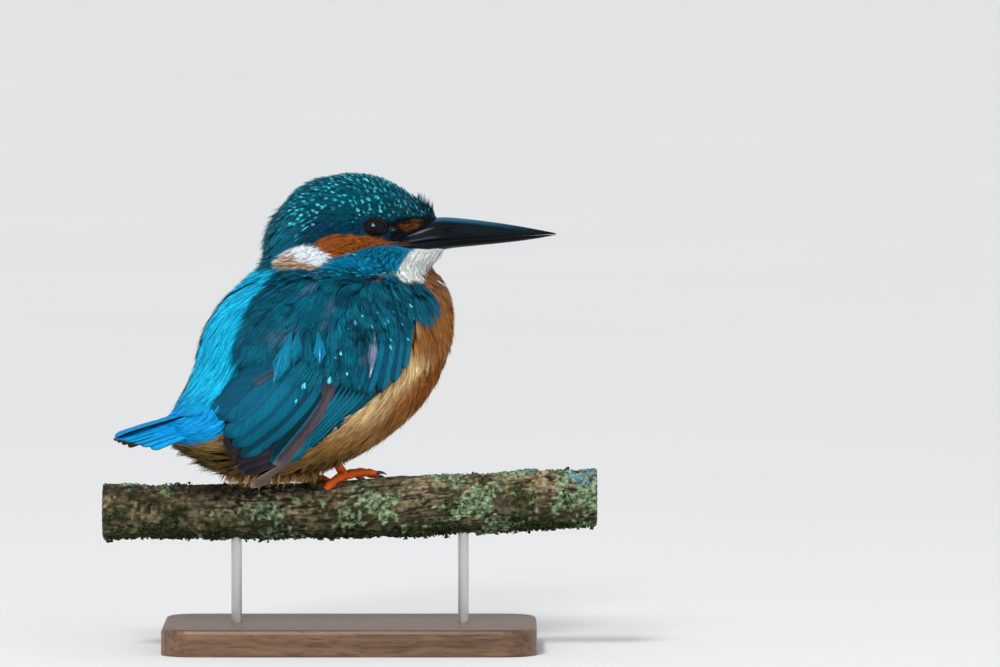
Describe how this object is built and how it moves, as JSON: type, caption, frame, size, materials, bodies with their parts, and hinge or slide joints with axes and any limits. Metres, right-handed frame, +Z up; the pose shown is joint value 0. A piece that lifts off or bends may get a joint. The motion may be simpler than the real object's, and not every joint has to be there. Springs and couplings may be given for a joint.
{
  "type": "perched kingfisher model",
  "caption": "Life-size still model of a common kingfisher gripping a short cut branch, held on a flat plinth by thin rods.",
  "frame": {"origin": "middle of the underside of the stand's base", "axes": "+Z up, +X along the branch and the way the bill points, +Y towards the bird's left side as its head is turned"},
  "size_m": [0.148, 0.0783, 0.1425],
  "materials": {
    "head": "matte plumage",
    "neck": "matte plumage",
    "trunk": "matte plumage",
    "wing": "satin plumage",
    "tail": "satin plumage",
    "bill": "satin horn",
    "eye": "polished dark glass",
    "leg": "scaled skin",
    "claw": "satin horn",
    "bark": "rough bark with lichen",
    "plinth": "satin varnish",
    "rod": "brushed"
  },
  "bodies": {
    "root": {"head": "head", "neck": "neck", "trunk": "trunk", "wing_right": "wing", "wing_left": "wing", "flight_right": "wing", "flight_left": "wing", "tail": "tail", "bill_upper": "bill", "bill_lower": "bill", "eye_right": "eye", "eye_left": "eye", "leg_right": "leg", "leg_left": "leg", "claw_right_outer": "claw", "claw_right_middle": "claw", "claw_right_inner": "claw", "claw_right_hind": "claw", "claw_left_outer": "claw", "claw_left_middle": "claw", "claw_left_inner": "claw", "claw_left_hind": "claw", "branch": "bark", "stand_base": "plinth", "stand_rod_left": "rod", "stand_rod_right": "rod"}
  },
  "joints": []
}
